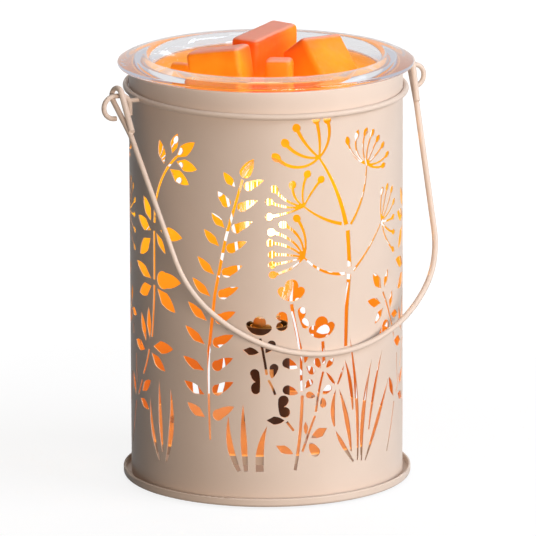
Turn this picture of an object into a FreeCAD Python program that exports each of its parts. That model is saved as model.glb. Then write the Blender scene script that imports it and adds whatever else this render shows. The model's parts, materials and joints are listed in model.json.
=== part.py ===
import FreeCAD, Part
import math
import os

# A light bulb wax warmer: a pierced sheet-metal lantern body on a shallow tray, a wire handle in two
# wire ears, a clear glass dish of wax melts on its rim and a tubular lamp bulb standing inside.
# Millimetres, +Z up, the origin at the middle of the footprint. The ears lie along X, and the handle
# hangs down the front, which faces -Y. Angles round the wall are counted from -Y towards +X.

Vec = FreeCAD.Vector
UP = Vec(0, 0, 1)
ORIGIN = Vec(0, 0, 0)

# Pierced body and base tray
body_radius = 57.5
body_sheet = 0.6
body_top = 177.0
rim_turn = 1.6
tray_gap = 2.4
tray_sheet = 1.0
tray_rim_top = 4.5
tray_corner = 1.3
foot_height = 0.9
foot_radius = 4.5
foot_count = 4
foot_inset = 9.0
tray_floor = foot_height + tray_sheet
tray_radius = body_radius + tray_gap + tray_sheet
body_inside = body_radius - body_sheet

# Fasteners under the floor
screw_radius = 1.45
screw_head_radius = 2.75
screw_head_height = 0.6
screw_clearance = 0.2
screw_end = 1.2
thread_clearance = 0.05
nut_width = 5.5
nut_height = 2.2
tab_sheet = 0.8
tab_depth = 11.0
tab_height = 9.0
tab_half_angle = 5.0
tab_count = 3
tab_turn = 0.0

# Platform that carries the socket
platform_top = 22.0
platform_sheet = 0.8
platform_clearance = 0.5
platform_lip = 4.0
platform_bolts = 3
platform_bolt_circle = 38.0
spacer_wall = 1.9
lead_hole_radius = 2.6
lead_hole_offset = 16.0

# Socket
view_turn = -27.5
sleeve_radius = 9.7
sleeve_wall = 1.1
sleeve_top = 65.0
window_width = 5.8
window_low = 37.5
window_high = 47.5
bracket_sheet = 1.0
bracket_width = 6.4
bracket_foot = 8.2
bracket_top = 47.0
bracket_screw_head = 1.4
holder_radius = 6.9
holder_low = 45.0
holder_high = 49.5
shell_wall = 0.4
socket_shell_top = 64.2
bulb_clearance = 0.3
contact_sheet = 0.4
contact_width = 3.2

# Bulb
cap_radius = 5.85
cap_wall = 0.25
cap_low = 54.0
cap_top = 68.5
cap_thread_pitch = 2.5
cap_thread_depth = 0.35
cap_glass_height = 1.6
cap_tip_height = 0.9
cap_tip_radius = 2.3
glass_wall = 0.7
glass_neck_radius = 5.2
glass_radius = 11.2
glass_shoulder = 81.0
glass_top = 137.0
stem_radius = 2.6
stem_top = 80.0
pinch_top = 84.0
rod_radius = 0.9
button_radius = 1.9
strand_count = 16
strand_circle = 8.3
strand_radius = 0.24
strand_low = 90.0
strand_high = 127.0
hook_radius = 0.2
hook_gap = 0.15

# Neck hoop, ears and handle
hoop_wire = 1.2
hoop_clearance = 0.1
hoop_height = 167.8
hoop_tilt = 1.75
ear_wire = 1.05
ear_reach = 69.6
ear_height = 165.25
ear_half_width = 6.0
ear_half_height = 4.75
bail_wire = 1.25
bail_drop = 120.6
bail_bottom_radius = 66.0
bail_corner_radius = 46.0
bail_leg_slope = 0.117
bail_wall_clearance = 0.3
eye_half_width = 3.25
eye_length = 16.5
eye_turn = 75.0
eye_lap = 1.32

# Glass dish
dish_lip_radius = 62.2
dish_lip_height = 2.3
dish_crown = 4.4
dish_mouth_radius = 48.4
dish_floor_inside = 163.0
dish_floor_thickness = 4.0
dish_floor_radius = 37.0
dish_wall = 3.0
dish_seat_clearance = 1.2
dish_seat_gap = 0.02

# Wax melts
melt_edge = 2.4
melt_seat_gap = 0.1

# Cable bush in the back of the wall
bush_height = 10.5
bush_bore = 3.2
bush_neck = 4.4
bush_flange = 6.2
bush_flange_thickness = 1.4
bush_groove_clearance = 0.1
bush_flange_clearance = 0.06
bush_turn = 180.0

# Cut pattern
web = 1.1
crotch_width = 0.35
cut_depth = 4.0


def on_wall(degrees, radius, height):
    """A point at an angle round the axis, counted from -Y towards +X."""
    angle = math.radians(degrees)
    return Vec(radius * math.sin(angle), -radius * math.cos(angle), height)


def turned_about_axis(shape, degrees):
    copy = shape.copy()
    copy.rotate(ORIGIN, UP, degrees)
    return copy


def run(points):
    """A list of edges: a plain point is the end of a line, a pair is the middle and end of an arc."""
    edges = []
    here = points[0]
    for step in points[1:]:
        if isinstance(step, Vec):
            edges.append(Part.LineSegment(here, step).toShape())
            here = step
        else:
            middle, end = step
            edges.append(Part.Arc(here, middle, end).toShape())
            here = end
    return edges


def rz(radius, height):
    return Vec(radius, 0, height)


def turned(points, degrees=360.0):
    """A solid turned about Z from a closed outline in the XZ plane."""
    face = Part.Face(Part.Wire(run(points + [points[0]])))
    solid = face.revolve(ORIGIN, UP, degrees)
    return solid


def disc(radius, low, high):
    return Part.makeCylinder(radius, high - low, Vec(0, 0, low))


def tube(outer, inner, low, high):
    return disc(outer, low, high).cut(disc(inner, low - 1, high + 1))


def wire_along(edges, radius):
    """A round wire swept along a path of tangent edges."""
    path = Part.Wire(edges)
    start = edges[0].Vertexes[0].Point
    first = edges[0]
    direction = first.tangentAt(first.FirstParameter)
    section = Part.Wire(Part.Circle(start, direction, radius).toShape())
    swept = path.makePipeShell([section], True, False)
    return swept


def capped(shape):
    """The same shape as a solid whose faces point outwards."""
    solid = Part.Solid(shape.Shells[0]) if shape.ShapeType != "Solid" else shape
    if solid.Volume < 0:
        solid.reverse()
    return solid


def export(name, shape):
    if not shape.isValid():
        print("invalid", name)
    shape.exportStep("parts/" + name + ".step")
    print(name, "solids", len(shape.Solids), "volume", round(shape.Volume, 2))


# Cut pattern: each cut is a flat outline drawn in mm round the wall and up it, pushed through the wall
# along the direction that leaves the axis at the outline's middle.

def arc_mm(degrees):
    """Distance round the wall of an angle."""
    return math.radians(degrees) * body_radius


class Sheet:
    """The flat drawing plane that touches the wall at one angle."""

    def __init__(self, middle_mm):
        self.middle = middle_mm
        self.angle = middle_mm / body_radius
        self.out = Vec(math.sin(self.angle), -math.cos(self.angle), 0)
        self.right = Vec(math.cos(self.angle), math.sin(self.angle), 0)

    def point(self, spot):
        across = body_radius * math.sin((spot[0] - self.middle) / body_radius)
        back = body_radius - cut_depth
        return self.out * back + self.right * across + UP * spot[1]

    def cutter(self, steps):
        """A prism from a closed outline of points and (middle, end) arcs."""
        points = [self.point(steps[0])]
        for step in steps[1:]:
            if isinstance(step[0], tuple):
                points.append((self.point(step[0]), self.point(step[1])))
            else:
                points.append(self.point(step))
        face = Part.Face(Part.Wire(run(points)))
        return face.extrude(self.out * (2 * cut_depth))


def along(start, heading, length):
    """The spot a length away; a heading of 0 is straight up and 90 is to the right."""
    angle = math.radians(heading)
    return (start[0] + length * math.sin(angle), start[1] + length * math.cos(angle))


def leaf(base, heading, length, left, right, shoulder=0.4):
    """A leaf with a round foot, broadest at its shoulder, whose sides run in arcs to a sharp tip."""
    rise = length * (1 - shoulder)
    wide = along(base, heading, length * shoulder)
    tip = along(base, heading, length)

    def side(half, way):
        radius = (rise ** 2 + half ** 2) / (2 * half)
        share = math.asin(min(1.0, rise / radius)) / 2
        up = along(wide, heading, radius * math.sin(share))
        return along(up, heading + way * 90, half - radius * (1 - math.cos(share)))
    left_edge = along(wide, heading - 90, left)
    right_edge = along(wide, heading + 90, right)
    outline = [base, left_edge, (side(left, -1), tip), (side(right, 1), right_edge), base]
    if shoulder * length < 1.6 * max(left, right):
        outline = [left_edge, (side(left, -1), tip), (side(right, 1), right_edge), (base, left_edge)]
    return Sheet(wide[0]).cutter(outline)


def petal(base, heading, length, width):
    """A leaf the other way round: sharp at its foot and round at its end."""
    end = along(base, heading, length)
    return leaf(end, heading + 180, length, width / 2, width / 2)


def curve_at(start, end, bow, share):
    """A spot on a parabola that bows to the right of the way from start to end."""
    length = math.hypot(end[0] - start[0], end[1] - start[1])
    lift = 4 * bow * share * (1 - share) / length
    return (start[0] + (end[0] - start[0]) * share + lift * (end[1] - start[1]),
            start[1] + (end[1] - start[1]) * share - lift * (end[0] - start[0]))


def beside(start, end, bow, share, distance):
    """The spot beside a curve, to the right of the way along it."""
    here = curve_at(start, end, bow, share)
    before = curve_at(start, end, bow, share - 0.01)
    after = curve_at(start, end, bow, share + 0.01)
    length = math.hypot(after[0] - before[0], after[1] - before[1])
    return (here[0] + distance * (after[1] - before[1]) / length,
            here[1] - distance * (after[0] - before[0]) / length)


def stem(start, end, bow, width, end_width=None, arcs=1, gap=web):
    """A stem as one strip with so many arcs along each side, and half a web left at both ends."""
    last = width if end_width is None else end_width
    length = math.hypot(end[0] - start[0], end[1] - start[1])
    low = gap / 2 / length
    high = 1 - low

    def edge(share, way):
        return beside(start, end, bow, share, way * (width + (last - width) * share) / 2)

    def side(way, shares):
        steps = []
        for here, there in zip(shares, shares[1:]):
            bends = abs(bow) * (there - here) ** 2 > 0.004 * length
            corner = edge(there, way)
            steps.append((edge((here + there) / 2, way), corner) if bends else corner)
        return steps
    shares = [low + (high - low) * index / arcs for index in range(arcs + 1)]
    outline = [edge(low, -1)] + side(-1, shares) + [edge(high, 1)] + side(1, shares[::-1]) + [edge(low, -1)]
    return [Sheet((start[0] + end[0]) / 2).cutter(outline)]


class Arm:
    """One arm of an umbel: a ray with a round head, or with no head the stalk that carries the rays."""

    def __init__(self, centre, end, bow, base_width, end_width, head_length=0.0, head_width=0.0):
        self.centre = centre
        self.end = end
        self.bow = bow
        self.base = base_width / 2
        self.last = end_width / 2
        self.length = math.hypot(end[0] - centre[0], end[1] - centre[1])
        self.neck = 1 - head_length / self.length
        self.head = head_width / 2
        look = curve_at(centre, end, bow, 0.25)
        self.angle = math.atan2(look[1] - centre[1], look[0] - centre[0])

    def edge(self, share, way):
        half = self.base + (self.last - self.base) * min(1.0, share / self.neck)
        return beside(self.centre, self.end, self.bow, share, way * half)

    def outline(self, right_start, left_start):
        """Out along the right side, round the head and back along the left side."""
        def arc(here, there, way):
            return (self.edge((here + there) / 2, way), self.edge(there, way))
        steps = [self.edge(right_start, 1)]
        if not self.head:
            half_way = (right_start + 1) / 2
            back_half_way = (left_start + 1) / 2
            return steps + [arc(right_start, half_way, 1), arc(half_way, 1, 1), self.edge(1, -1),
                            arc(1, back_half_way, -1), arc(back_half_way, left_start, -1)]
        belly = (self.neck + 1) / 2
        crown = beside(self.centre, self.end, self.bow, 0.995, 0)
        steps.append(arc(right_start, self.neck, 1))
        steps.append((beside(self.centre, self.end, self.bow, belly, self.head), crown))
        steps.append((beside(self.centre, self.end, self.bow, belly, -self.head), self.edge(self.neck, -1)))
        steps.append(arc(self.neck, left_start, -1))
        return steps


def crotch(arm, after):
    """How far out from the centre the metal between two neighbouring arms starts."""
    out = 0.3
    while True:
        left = arm.edge(out / arm.length, -1)
        right = after.edge(out / after.length, 1)
        left_angle = math.atan2(left[1] - arm.centre[1], left[0] - arm.centre[0])
        right_angle = math.atan2(right[1] - arm.centre[1], right[0] - arm.centre[0])
        apart = (right_angle - left_angle + math.pi) % (2 * math.pi) - math.pi
        if apart > 0 and math.hypot(right[0] - left[0], right[1] - left[1]) > crotch_width:
            return out
        out += 0.1


def umbel(arms):
    """One outline round all the arms of an umbel."""
    arms = sorted(arms, key=lambda arm: arm.angle)
    starts = [crotch(arm, arms[(index + 1) % len(arms)]) for index, arm in enumerate(arms)]
    steps = []
    for index, arm in enumerate(arms):
        steps += arm.outline(starts[index - 1] / arm.length, starts[index] / arm.length)
    spread = [arm.end[0] for arm in arms]
    return Sheet((min(spread) + max(spread)) / 2).cutter(steps + [steps[0]])


def blade(foot, tip, bow, width, foot_width=0.8, belly=0.42):
    """A blade of grass, broadest at its belly, from a narrow foot to a sharp tip."""
    half = width / 2
    foot_half = foot_width / 2

    def edge(share, distance):
        return beside(foot, tip, bow, share, distance)
    low = belly / 2
    high = (1 + belly) / 2
    low_half = foot_half + (half - foot_half) * 0.68
    outline = [edge(0, -foot_half), (edge(low, -low_half), edge(belly, -half)),
               (edge(high, -half * 0.66), tip),
               (edge(high, half * 0.66), edge(belly, half)),
               (edge(low, low_half), edge(0, foot_half)), edge(0, -foot_half)]
    return Sheet(edge(belly, 0)[0]).cutter(outline)


def lobed(foot, heading, width, height, spots):
    """An outline of lobes: each pair of spots is the middle and end of an arc, in shares of the size."""
    def place(spot):
        return along(along(foot, heading, spot[1] * height), heading + 90, spot[0] * width)
    outline = [foot] + [(place(middle), place(end)) for middle, end in spots]
    return Sheet(place((0.2, 0.5))[0]).cutter(outline)


def trefoil(foot, heading, width, height):
    """A flower of three round lobes on a blunt foot."""
    left = [((-0.34, 0.13), (-0.52, 0.42)), ((-0.43, 0.64), (-0.25, 0.62)), ((0.0, 1.0), (0.25, 0.62))]
    right = [((0.43, 0.64), (0.52, 0.42)), ((0.34, 0.13), (0.0, 0.0))]
    return lobed(foot, heading, width, height, left + right)


def half_flower(foot, heading, width, height):
    """Two round lobes on one side of a stem; a negative width puts them on its left."""
    return lobed(foot, heading, width, height, [((-0.04, 0.45), (0.06, 0.9)), ((0.62, 1.1), (0.98, 0.72)),
                                                ((0.74, 0.50), (0.5, 0.42)), ((0.88, 0.28), (0.95, 0.0)),
                                                ((0.55, -0.22), (0.0, 0.0))])


class Plot:
    """Local drawing: mm to the right of a plant's own line."""

    def __init__(self, turn):
        self.base = arc_mm(turn)

    def at(self, across, height):
        return (self.base + across, height)

    def leaf(self, across, height, heading, length, left, right, shoulder=0.4):
        return leaf(self.at(across, height), heading, length, left, right, shoulder)

    def petal(self, across, height, heading, length, width):
        return petal(self.at(across, height), heading, length, width)

    def stem(self, start, end, bow, width, end_width=None, arcs=1, gap=web):
        return stem(self.at(*start), self.at(*end), bow, width, end_width, arcs, gap)

    def blade(self, foot, tip, bow, width, foot_width=0.8, belly=0.42):
        return blade(self.at(*foot), self.at(*tip), bow, width, foot_width, belly)

    def umbel(self, centre, crowns, foot, stalk_bow, stalk_width, base_width, neck_width, head_length,
              head_width):
        """Rays from one centre, each with its crown's place from the centre and its bow, on a stalk."""
        middle = self.at(*centre)
        arms = [Arm(middle, self.at(*foot), stalk_bow, base_width, stalk_width)]
        for across, height, bow in crowns:
            crown = self.at(centre[0] + across, centre[1] + height)
            arms.append(Arm(middle, crown, bow, base_width, neck_width, head_length, head_width))
        return [umbel(arms)]


def paired_stalk(turn):
    """A tall stalk that leans at its top, with a pair of leaves at each even step."""
    plot = Plot(turn)
    foot = (0.6, 28.0)
    foot_bow = -0.3
    knee = (0.1, 66.0)
    head = (15.2, 139.6)
    bow = -2.4
    left_lift = (0, -1.0, -1.2, -0.3, -0.3, 0.2, -0.1, 2.6, 1.2, 1.4, 0.4)
    left_aside = (1.9, 1.9, 1.9, 1.9, 1.9, 1.6, 1.5, 1.3, 1.2, 1.5, 1.8)
    left_heading = (-58, -64, -64, -53, -51, -49, -47, -45, -43, -41, -39)
    right_lift = (0, 0, 0, -0.3, -0.3, 0.4, 0, 0.9, 0, 0, -0.2)
    cuts = plot.stem(foot, knee, foot_bow, 0.8, 1.3, gap=0)
    cuts += plot.stem((knee[0], knee[1] - 0.8), head, bow, 1.55, 1.2, arcs=3, gap=0)
    cuts.append(plot.leaf(head[0] + 0.1, head[1] + 0.9, 30, 9.2, 2.5, 2.3, 0.3))
    pairs = len(left_lift)
    for index in range(pairs):
        share = index / (pairs - 1)
        height = foot[1] + 9.4 + 107.5 * share - 9.0 * share ** 2
        if height < knee[1]:
            part = (height - foot[1]) / (knee[1] - foot[1])
            spot = curve_at(foot, knee, foot_bow, part)
        else:
            part = (height - knee[1]) / (head[1] - knee[1])
            spot = curve_at(knee, head, bow, part)
        fullness = max(0.0, 1 - ((share - 0.33) / 0.5) ** 2)
        cuts.append(plot.leaf(spot[0] - left_aside[index], height + left_lift[index], left_heading[index],
                              8.0 + 4.0 * fullness, 2.3 - 0.3 * share, 1.9 - 0.4 * share))
        cuts.append(plot.leaf(spot[0] + 2.05, height + right_lift[index], 58 + 6 * share,
                              10.6 - 1.6 * share, 2.4 - 0.4 * share, 1.7 - 0.3 * share, 0.34))
    return cuts


def leafy_sprig(turn):
    """A sprig with a nodding head of leaves and three whorls of broad leaves down its stem."""
    plot = Plot(turn)
    cuts = plot.stem((-25.4, 16.0), (-17.8, 37.0), 0.3, 0.8, 0.9)
    cuts += plot.stem((-15.4, 39.4), (-10.6, 47.4), 0.2, 1.1, 1.2)
    cuts += plot.stem((-9.8, 49.4), (-4.0, 62.0), 0.6, 1.2, 1.3)
    cuts += plot.stem((-1.9, 66.6), (0.2, 90.4), 0.3, 1.2, 1.4)
    cuts += plot.stem((0.2, 91.6), (0.3, 113.6), 0, 1.4)
    cuts += plot.stem((0.6, 116.4), (14.8, 146.8), -3.8, 1.5, 1.2, arcs=3, gap=0)
    head = [(14.3, 146.3, 52, 12.3, 2.6, 2.4), (12.0, 147.6, 20, 9.6, 2.4, 1.8),
            (7.4, 142.4, -16, 10.6, 2.4, 2.2), (14.3, 144.7, 102, 10.9, 2.4, 2.7),
            (10.7, 141.0, 118, 11.6, 2.7, 2.9)]
    upper = [(-2.0, 116.7, -32, 11.6, 2.4, 2.9), (-2.0, 112.8, -70, 12.6, 2.9, 2.5),
             (4.4, 113.9, 96, 13.0, 2.8, 3.0), (-2.4, 109.4, -131, 13.0, 2.8, 3.2),
             (1.7, 112.6, 144, 10.4, 1.7, 1.7)]
    middle = [(-2.0, 92.2, -70, 14.8, 2.4, 2.6), (-2.0, 89.0, -114, 12.0, 2.9, 2.8),
              (2.2, 92.3, 86, 14.4, 3.7, 3.0), (2.2, 88.8, 128, 14.2, 3.0, 3.0)]
    lower = [(-6.6, 64.2, -21, 13.0, 2.2, 1.9), (-3.6, 65.8, -3, 14.0, 2.1, 1.5),
             (-0.8, 63.4, 86, 12.8, 2.8, 2.6), (-2.4, 60.4, 124, 11.6, 2.2, 2.4),
             (-7.8, 60.6, -78, 10.2, 2.4, 2.2)]
    foot = [(-11.0, 42.0, 52, 10.0, 2.2, 2.0), (-12.8, 38.6, 112, 8.8, 2.0, 1.8),
            (-18.4, 38.6, -25, 10.8, 1.9, 1.6)]
    for across, height, heading, length, left, right in head + upper + middle + lower + foot:
        cuts.append(plot.leaf(across, height, heading, length, left, right))
    return cuts


def umbel_plant(turn):
    """A tall branching plant with three open umbels and two heads of seeds."""
    plot = Plot(turn)
    cuts = plot.stem((-1.0, 66.0), (0.8, 97.8), -0.5, 1.7, 2.2, arcs=2)
    cuts += plot.stem((1.0, 99.6), (0.0, 116.4), 0.1, 2.1)
    cuts += plot.umbel((-13.5, 148.0), [(-20.0, 2.9, -4.8), (-15.8, 8.8, -2.6), (-10.6, 15.0, -1.2),
                                        (-1.9, 18.0, 1.0), (2.7, 18.0, 3.2)],
                       (-0.7, 118.3), -1.5, 2.2, 0.9, 1.6, 3.6, 3.5)
    cuts += plot.umbel((-20.2, 127.9), [(2.4, 15.2, -1.6), (8.8, 12.1, -0.7), (-4.6, 11.3, -2.0),
                                        (-13.4, 9.4, -1.9), (-16.2, 3.3, -1.4), (-16.4, -4.1, -0.6)],
                       (-2.9, 119.0), 1.2, 1.6, 0.7, 1.2, 3.3, 3.2)
    cuts += plot.umbel((-20.2, 106.4), [(-4.3, 18.2, 2.4), (-10.6, 15.0, 3.2), (-15.7, 11.4, 2.8),
                                        (-16.2, 6.6, 1.9), (-15.2, 1.6, 0.6), (-15.2, -3.0, -0.2),
                                        (-15.0, -7.1, -1.6)],
                       (-1.2, 97.7), 2.4, 1.5, 0.7, 1.3, 3.3, 3.2)
    cuts += plot.umbel((10.6, 142.4), [(-10.9, 13.4, -2.6), (-4.7, 15.4, -3.6), (0.6, 15.6, -2.4),
                                       (5.0, 14.2, -1.6), (8.8, 11.0, -0.4), (12.6, 7.4, 0.6),
                                       (16.6, 2.6, 1.8), (13.6, -2.2, 1.4)],
                       (1.7, 118.2), -2.3, 1.4, 0.8, 1.0, 3.6, 2.5)
    cuts += plot.umbel((20.8, 116.4), [(1.2, 14.6, -1.2), (5.6, 15.4, -0.6), (10.0, 13.4, 0.6),
                                       (12.8, 7.4, 0.8), (12.4, 0.2, 0.9), (13.0, -7.2, 1.4),
                                       (12.4, -15.2, 2.2)],
                       (3.1, 98.3), -0.6, 1.2, 0.8, 1.0, 3.6, 2.4)
    return cuts


def trefoil_plants(turn):
    """Three low flowers on bent stems, with paired leaves and a pair of half flowers."""
    plot = Plot(turn)
    cuts = [trefoil(plot.at(-4.3, 88.0), 2, 11.0, 9.4),
            trefoil(plot.at(-18.4, 73.8), 10, 10.4, 8.2),
            trefoil(plot.at(9.6, 71.4), -6, 11.4, 9.4)]
    cuts += plot.stem((-4.2, 87.4), (-0.2, 66.8), 0.3, 1.4)
    cuts += plot.stem((0.0, 66.2), (0.2, 48.8), 0.2, 1.1)
    cuts += plot.stem((0.3, 48.2), (-2.9, 15.2), -0.7, 1.3)
    cuts += plot.stem((-17.4, 73.0), (-14.5, 56.4), -0.2, 1.1)
    cuts += plot.stem((-14.2, 55.2), (-10.9, 47.8), -0.3, 1.0)
    cuts += plot.stem((-6.6, 37.2), (-3.0, 32.3), 0, 1.0)
    cuts += plot.stem((9.4, 70.6), (9.9, 59.8), -0.1, 1.4)
    cuts += plot.stem((9.8, 57.6), (6.2, 39.6), 0.4, 1.0)
    cuts += plot.stem((6.1, 39.0), (0.2, 23.0), 0.2, 1.0, arcs=2)
    cuts += [half_flower(plot.at(-6.0, 76.8), 2, -4.8, 6.2),
             half_flower(plot.at(0.3, 77.2), -18, 3.4, 7.2),
             half_flower(plot.at(-17.4, 50.4), 0, -3.8, 8.2),
             half_flower(plot.at(-9.2, 39.8), -8, 4.6, 7.2)]
    leaves = [(-17.8, 66.4, -81, 6.8, 3.4), (-15.0, 66.2, 34, 6.2, 3.2), (-12.6, 55.4, 14, 6.4, 3.4),
              (-1.6, 59.2, -59, 7.2, 4.0), (2.3, 60.2, 139, 4.8, 2.8), (1.4, 61.3, 14, 5.6, 1.9),
              (8.4, 58.6, -28, 5.0, 2.6), (11.0, 58.4, 42, 5.4, 2.6), (-1.5, 48.6, -69, 6.8, 3.8),
              (1.5, 50.6, 42, 4.6, 2.6), (6.0, 46.6, -68, 4.3, 2.8), (9.4, 47.4, 50, 5.0, 3.2),
              (-7.2, 37.2, -88, 7.6, 3.6), (1.9, 30.6, -2, 5.8, 1.9), (4.2, 29.2, 64, 8.0, 4.0),
              (3.4, 27.2, 148, 7.0, 3.9), (-3.6, 22.8, -62, 8.2, 3.4), (9.3, 46.0, 174, 4.4, 2.8)]
    for across, height, way, length, width in leaves:
        cuts.append(plot.petal(across, height, way, length, width))
    return cuts


def tall_tuft(turn):
    """A broad tuft of grass with blades that fan out from one foot."""
    plot = Plot(turn)
    blades = [((-1.2, 16.6), (-5.5, 71.0), 1.6, 1.8, 0.5), ((1.1, 16.0), (7.5, 58.8), -2.0, 2.4, 0.45),
              ((5.5, 28.6), (15.0, 61.5), -1.1, 1.8, 0.5), ((3.3, 15.8), (20.6, 48.4), -0.3, 2.4, 0.5),
              ((-3.8, 38.8), (-8.0, 61.2), 0.9, 1.8, 0.5), ((-4.6, 21.0), (-10.8, 49.0), 0.8, 2.3, 0.5),
              ((-3.4, 16.4), (-12.6, 31.2), -0.4, 2.0, 0.6), ((-13.0, 32.9), (-12.3, 48.9), -1.2, 2.1, 0.45),
              ((-12.9, 51.0), (-17.0, 56.8), 0.1, 1.4, 0.5), ((-11.5, 50.8), (-8.3, 58.8), 0.2, 1.2, 0.5)]
    return [plot.blade(foot, tip, bow, width, 0.7, belly) for foot, tip, bow, width, belly in blades]


def short_tuft(turn):
    """Three broad blades with cut feet."""
    plot = Plot(turn)
    return [plot.blade((-2.0, 15.4), (-6.4, 38.8), -1.8, 2.8, 1.7),
            plot.blade((0.9, 15.4), (-0.2, 44.4), -0.4, 2.8, 1.6),
            plot.blade((6.7, 15.4), (9.8, 35.0), -1.2, 3.4, 3.3, 0.3)]


def thin_tuft(turn):
    """Three slender blades."""
    plot = Plot(turn)
    return [plot.blade((-1.6, 15.0), (-8.2, 41.4), -1.8, 2.3),
            plot.blade((0.4, 19.0), (-1.6, 50.2), -0.4, 2.4),
            plot.blade((2.6, 15.2), (5.4, 47.6), 2.0, 2.9)]


def small_sprig(turn):
    """A short sprig with a leaf on each side at each step and two at its tip."""
    plot = Plot(turn)
    cuts = plot.stem((0.4, 86.4), (9.2, 69.4), -0.3, 1.1)
    cuts += plot.stem((9.4, 69.0), (11.2, 64.2), 0.1, 0.9)
    cuts += plot.stem((14.6, 57.4), (15.6, 44.0), 0.2, 0.8)
    leaves = [(-0.6, 87.6, -38, 9.8, 2.4, 2.2), (1.6, 87.4, 24, 8.4, 1.6, 1.5),
              (-1.0, 81.4, -74, 9.4, 2.2, 1.8), (6.8, 77.2, 16, 8.2, 1.7, 1.6),
              (0.8, 79.2, -134, 8.6, 1.5, 1.8), (8.0, 74.8, 99, 7.8, 1.8, 1.7),
              (5.2, 72.4, -128, 9.8, 2.3, 2.6)]
    for across, height, heading, length, left, right in leaves:
        cuts.append(plot.leaf(across, height, heading, length, left, right))
    return cuts


def pattern():
    """Every cut in the wall: a meadow all the way round."""
    cuts = []
    cuts += umbel_plant(-132.8)
    cuts += tall_tuft(-126.5)
    cuts += small_sprig(-114.5)
    cuts += leafy_sprig(-82.1)
    cuts += thin_tuft(-77.4)
    cuts += paired_stalk(-52.4)
    cuts += short_tuft(-37.2)
    cuts += trefoil_plants(-13.0)
    cuts += umbel_plant(8.4)
    cuts += tall_tuft(14.8)
    cuts += small_sprig(29.6)
    cuts += leafy_sprig(58.6)
    cuts += thin_tuft(64.4)
    cuts += paired_stalk(93.0)
    cuts += short_tuft(109.0)
    cuts += trefoil_plants(132.0)
    cuts += paired_stalk(163.0)
    cuts += short_tuft(178.0)
    return cuts


def base_tray():
    outer = tray_radius
    inner = tray_radius - tray_sheet
    corner = tray_corner
    bend = corner * (1 - math.sqrt(0.5))
    edge = tray_sheet / 2
    top = tray_rim_top - edge
    tray = turned([rz(0, foot_height), rz(outer - corner, foot_height),
                   (rz(outer - bend, foot_height + bend), rz(outer, foot_height + corner)),
                   rz(outer, top), (rz(outer - edge, tray_rim_top), rz(inner, top)),
                   rz(inner, tray_floor), rz(0, tray_floor)])
    holes = []
    for degrees in tab_angles():
        holes.append(hole_at(tab_screw_circle(), degrees, 0, tray_floor + 1))
    for degrees in bolt_angles():
        holes.append(hole_at(platform_bolt_circle, degrees, 0, tray_floor + 1))
    return tray.cut(holes)


def hole_at(circle, degrees, low, high):
    spot = on_wall(degrees, circle, low)
    return Part.makeCylinder(screw_radius + screw_clearance, high - low, spot)


def tab_angles():
    return [tab_turn + index * 360.0 / tab_count for index in range(tab_count)]


def bolt_angles():
    return [index * 360.0 / platform_bolts for index in range(platform_bolts)]


def tab_screw_circle():
    return body_inside - tab_depth * 0.6


def rubber_foot(index):
    turn = 45 + index * 360.0 / foot_count
    spot = on_wall(turn, body_radius - foot_inset, 0)
    return Part.makeCylinder(foot_radius, foot_height, spot)


def pierced_body():
    """The wall with its turned-in top edge, less the pattern and the hole for the cable bush."""
    low = tray_floor
    flange = body_top - body_sheet
    wall = turned([rz(body_inside, low), rz(body_radius, low), rz(body_radius, body_top - 0.5),
                   (rz(body_radius - 0.15, body_top - 0.15), rz(body_radius - 0.5, body_top)),
                   rz(body_radius - rim_turn, body_top), rz(body_radius - rim_turn, flange),
                   rz(body_inside, flange)])
    cutters = pattern()
    spot = on_wall(bush_turn, body_inside - 2, bush_height)
    bush_hole = Part.makeCylinder(bush_neck + bush_groove_clearance, 6, spot, on_wall(bush_turn, 1, 0))
    return wall.cut(cutters + [bush_hole])


def body_tab(degrees):
    """A foot of sheet welded inside the wall, with a hole for its screw."""
    half = tab_half_angle
    inner = body_inside - tab_depth
    low = tray_floor
    tab = turned([rz(inner, low), rz(body_inside, low), rz(body_inside, low + tab_height),
                  rz(body_inside - tab_sheet, low + tab_height), rz(body_inside - tab_sheet, low + tab_sheet),
                  rz(inner, low + tab_sheet)], 2 * half)
    placed = turned_about_axis(tab, degrees - 90 - half)
    return placed.cut(hole_at(tab_screw_circle(), degrees, low - 1, low + tab_sheet + 1))


def screw(circle, degrees, top):
    """A low round-headed screw from under the tray."""
    head = Part.makeCylinder(screw_head_radius, screw_head_height,
                             on_wall(degrees, circle, foot_height - screw_head_height))
    shank = Part.makeCylinder(screw_radius, top - foot_height + screw_head_height,
                              on_wall(degrees, circle, foot_height - screw_head_height))
    return head.fuse(shank).removeSplitter()


def nut(circle, degrees, low):
    centre = on_wall(degrees, circle, low)
    corner = nut_width / math.sqrt(3)
    corners = []
    for index in range(7):
        angle = math.radians(60 * index + 30)
        corners.append(centre + Vec(corner * math.cos(angle), corner * math.sin(angle), 0))
    prism = Part.Face(Part.makePolygon(corners)).extrude(Vec(0, 0, nut_height))
    bore = Part.makeCylinder(screw_radius + thread_clearance, nut_height + 2, centre - Vec(0, 0, 1))
    return prism.cut(bore)


def socket_platform():
    """A flat shelf with a turned-down lip, close inside the wall."""
    outer = body_inside - platform_clearance
    low = platform_top - platform_lip
    under = platform_top - platform_sheet
    shelf = turned([rz(0, under), rz(outer - platform_sheet, under), rz(outer - platform_sheet, low),
                    rz(outer, low), rz(outer, platform_top), rz(0, platform_top)])
    holes = [hole_at(platform_bolt_circle, degrees, under - 1, platform_top + 1) for degrees in bolt_angles()]
    lead = Part.makeCylinder(lead_hole_radius, platform_sheet + 2,
                             on_wall(bush_turn, lead_hole_offset, under - 1))
    centre = Part.makeCylinder(screw_radius + screw_clearance, platform_sheet + 2, Vec(0, 0, under - 1))
    return shelf.cut(holes + [lead, centre])


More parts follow.
